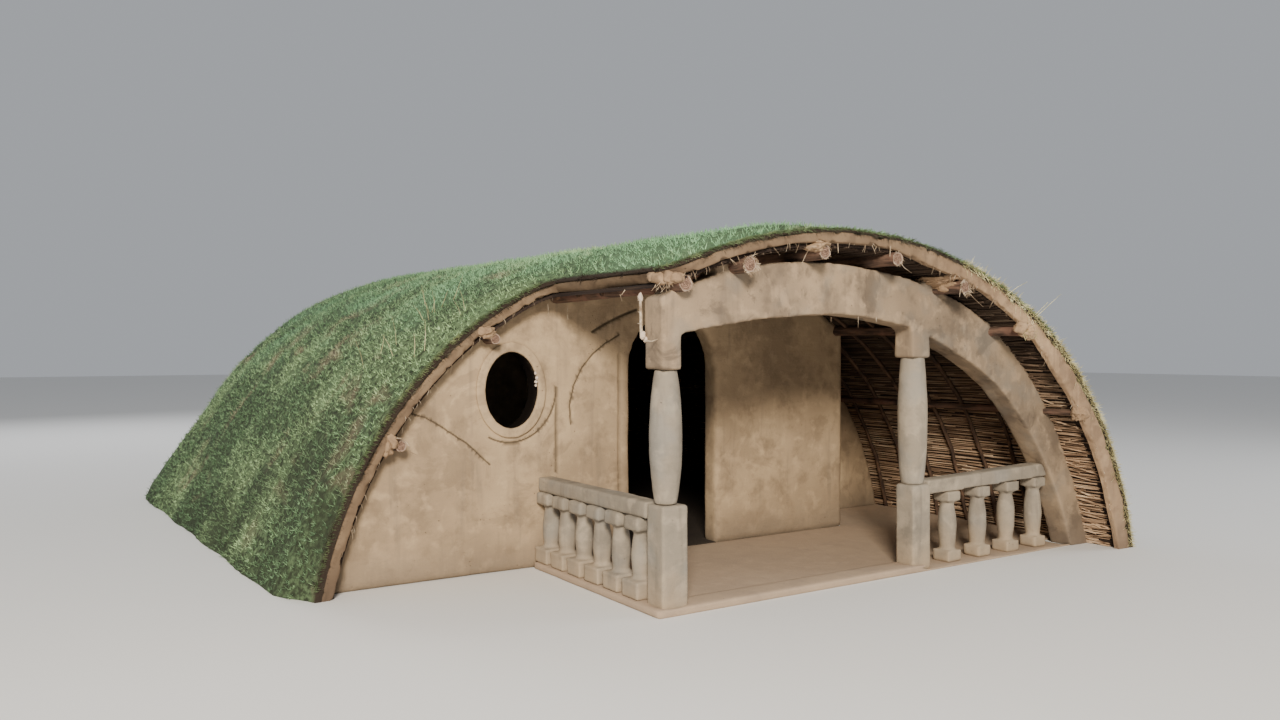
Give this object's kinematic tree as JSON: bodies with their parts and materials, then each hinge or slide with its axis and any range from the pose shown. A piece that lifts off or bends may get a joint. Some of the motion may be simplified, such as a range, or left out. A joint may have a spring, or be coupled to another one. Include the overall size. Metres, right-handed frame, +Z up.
{
  "type": "earth-sheltered clay house under a turf vault",
  "caption": "Low clay house: a barrel vault of logs, wattle and mud under living turf, with a recessed porch, turned columns, balustrades, round-topped doorway and oval window.",
  "frame": {"origin": "on the ground, under the middle of the vault's length and width", "axes": "+Z up, -Y out of the porch's front, +X to the right of someone facing the porch"},
  "size_m": [6.7816, 7.65, 2.5415],
  "materials": {
    "clay_wall": "hand-smoothed dry clay plaster",
    "clay_grey": "grey-beige clay slip, smooth and matt",
    "clay_floor": "trodden clay, slightly polished",
    "edge_mud": "rough dry mud",
    "turf": "living fine-leaved turf on soil",
    "wattle": "laid sticks, unpeeled",
    "bark": "logs in their bark"
  },
  "bodies": {
    "root": {"wattle_left_side": "wattle", "wattle_left_top": "wattle", "wattle_right_top": "wattle", "wattle_right_side": "wattle", "mud_roof_left_side": "edge_mud", "mud_roof_left_top": "edge_mud", "mud_roof_right_top": "edge_mud", "mud_roof_right_side": "edge_mud", "turf_left_side": "turf", "turf_left_top": "turf", "turf_right_top": "turf", "turf_right_side": "turf", "purlin_1": "bark", "purlin_2": "bark", "purlin_3": "bark", "purlin_4": "bark", "purlin_5": "bark", "purlin_6": "bark", "purlin_7": "bark", "purlin_8": "bark", "purlin_9": "bark", "front_wall_left": "clay_wall", "front_wall_over_door": "clay_wall", "front_wall_right": "clay_wall", "porch_return_wall": "clay_wall", "porch_recess_wall": "clay_wall", "back_wall": "clay_wall", "window_ring": "clay_wall", "arch_beam": "clay_wall", "porch_floor": "clay_floor", "room_floor": "clay_floor", "pedestal_left": "clay_grey", "pedestal_right": "clay_grey", "column_left": "clay_grey", "column_right": "clay_grey", "capital_left": "clay_grey", "capital_right": "clay_grey", "rail_left": "clay_grey", "rail_right": "clay_grey", "baluster_left_1": "clay_grey", "baluster_left_2": "clay_grey", "baluster_left_3": "clay_grey", "baluster_left_4": "clay_grey", "baluster_left_5": "clay_grey", "baluster_left_6": "clay_grey", "baluster_right_1": "clay_grey", "baluster_right_2": "clay_grey", "baluster_right_3": "clay_grey", "baluster_right_4": "clay_grey"}
  },
  "joints": []
}
